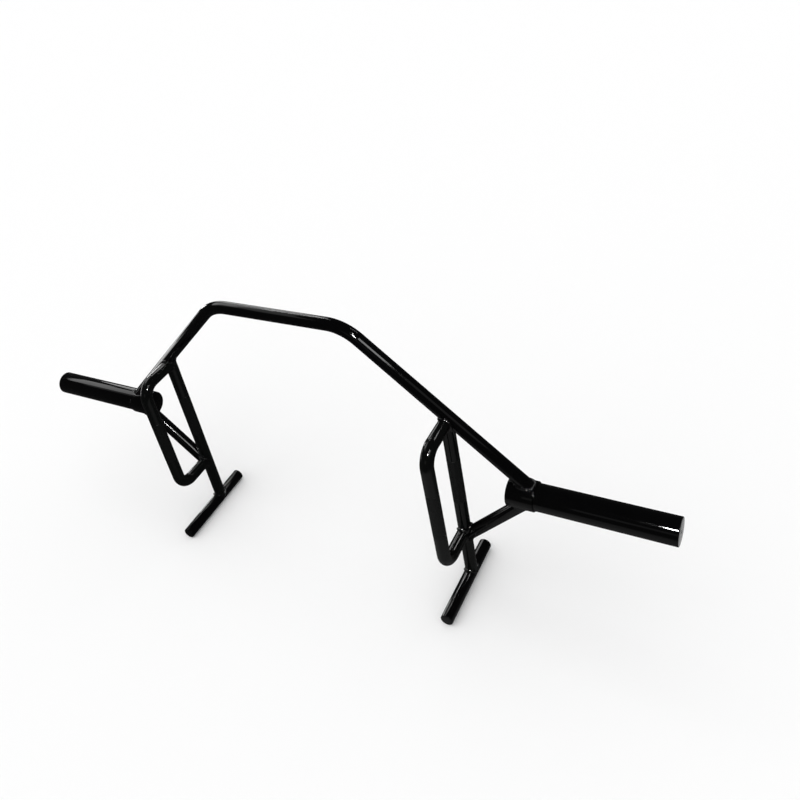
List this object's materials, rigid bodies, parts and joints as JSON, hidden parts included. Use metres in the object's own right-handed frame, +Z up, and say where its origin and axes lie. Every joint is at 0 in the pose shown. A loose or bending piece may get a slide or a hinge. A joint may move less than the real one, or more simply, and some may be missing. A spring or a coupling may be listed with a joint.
{
  "type": "trap bar",
  "caption": "Open trap bar: an arched top bar joins two plate sleeves, with an upright post, a forward D-shaped handle, a brace and a foot bar welded up on each side.",
  "frame": {"origin": "on the floor under the middle of the bar, midway between the two feet and midway along each foot bar", "axes": "+X along the sleeves toward the right one, -Y the way the D-handles stand out from the frame, +Z up"},
  "size_m": [1.422, 0.2, 0.5941],
  "materials": {
    "frame_paint": "gloss black paint",
    "sleeve_paint": "gloss black paint",
    "grip_paint": "gloss black paint, matte where it is knurled",
    "weld_paint": "gloss black paint over rippled weld"
  },
  "bodies": {
    "root": {"top_bar": "frame_paint", "left_sleeve": "sleeve_paint", "left_hub": "frame_paint", "left_post": "grip_paint", "left_d_handle": "grip_paint", "left_brace": "frame_paint", "left_foot": "frame_paint", "left_handle_top_weld": "weld_paint", "left_post_top_weld": "weld_paint", "left_handle_bottom_weld": "weld_paint", "left_brace_foot_weld": "weld_paint", "left_brace_hub_weld": "weld_paint", "left_leg_hub_weld": "weld_paint", "left_foot_weld": "weld_paint", "right_sleeve": "sleeve_paint", "right_hub": "frame_paint", "right_post": "grip_paint", "right_d_handle": "grip_paint", "right_brace": "frame_paint", "right_foot": "frame_paint", "right_handle_top_weld": "weld_paint", "right_post_top_weld": "weld_paint", "right_handle_bottom_weld": "weld_paint", "right_brace_foot_weld": "weld_paint", "right_brace_hub_weld": "weld_paint", "right_leg_hub_weld": "weld_paint", "right_foot_weld": "weld_paint"}
  },
  "joints": []
}
